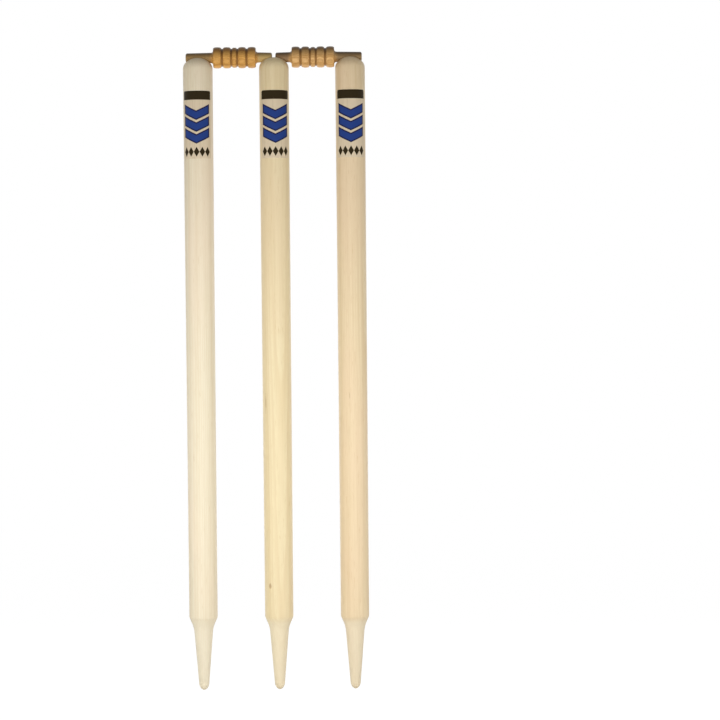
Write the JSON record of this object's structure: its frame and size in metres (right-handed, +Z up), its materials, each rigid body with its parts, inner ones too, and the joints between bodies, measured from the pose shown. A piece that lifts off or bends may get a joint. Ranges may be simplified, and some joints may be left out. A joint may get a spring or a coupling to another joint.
{
  "type": "cricket wicket",
  "caption": "Full cricket wicket: upright turned wooden stumps with tapered spikes and printed label films, bridged by beaded wooden bails that lift out of grooves across their tops.",
  "frame": {"origin": "on the middle stump's axis at ground level, where its straight shaft ends and the shoulder of its spike begins", "axes": "+Z up along the stumps, +X along the wicket to the right as the labels are read, -Y out of the labelled fronts, towards the bowler"},
  "size_m": [0.2306, 0.0378, 0.8169],
  "materials": {
    "left_stump_wood": "pale creamy ash, sanded smooth under a thin satin lacquer",
    "middle_stump_wood": "yellower ash, sanded smooth under a thin satin lacquer",
    "right_stump_wood": "slightly pink tan ash, sanded smooth under a thin satin lacquer",
    "left_bail_wood": "honey-brown stain, darker in the coves, under a semi-gloss lacquer",
    "right_bail_wood": "lighter honey-brown stain, darker in the coves, under a semi-gloss lacquer",
    "label_film": null
  },
  "bodies": {
    "middle_stump": {"middle_stump": "middle_stump_wood", "middle_stump_label": "label_film"},
    "left_stump": {"left_stump": "left_stump_wood", "left_stump_label": "label_film"},
    "right_stump": {"right_stump": "right_stump_wood", "right_stump_label": "label_film"},
    "left_bail": {"left_bail": "left_bail_wood"},
    "right_bail": {"right_bail": "right_bail_wood"}
  },
  "joints": [
    {"name": "left_stump_pull", "type": "slide", "parent": "middle_stump", "child": "left_stump", "axis": [0, 0, 1], "range_m": [0, 0.1]},
    {"name": "right_stump_pull", "type": "slide", "parent": "middle_stump", "child": "right_stump", "axis": [0, 0, 1], "range_m": [0, 0.1]},
    {"name": "left_bail_lift", "type": "slide", "parent": "left_stump", "child": "left_bail", "axis": [0, 0, 1], "range_m": [0, 0.06]},
    {"name": "right_bail_lift", "type": "slide", "parent": "right_stump", "child": "right_bail", "axis": [0, 0, 1], "range_m": [0, 0.06]}
  ]
}
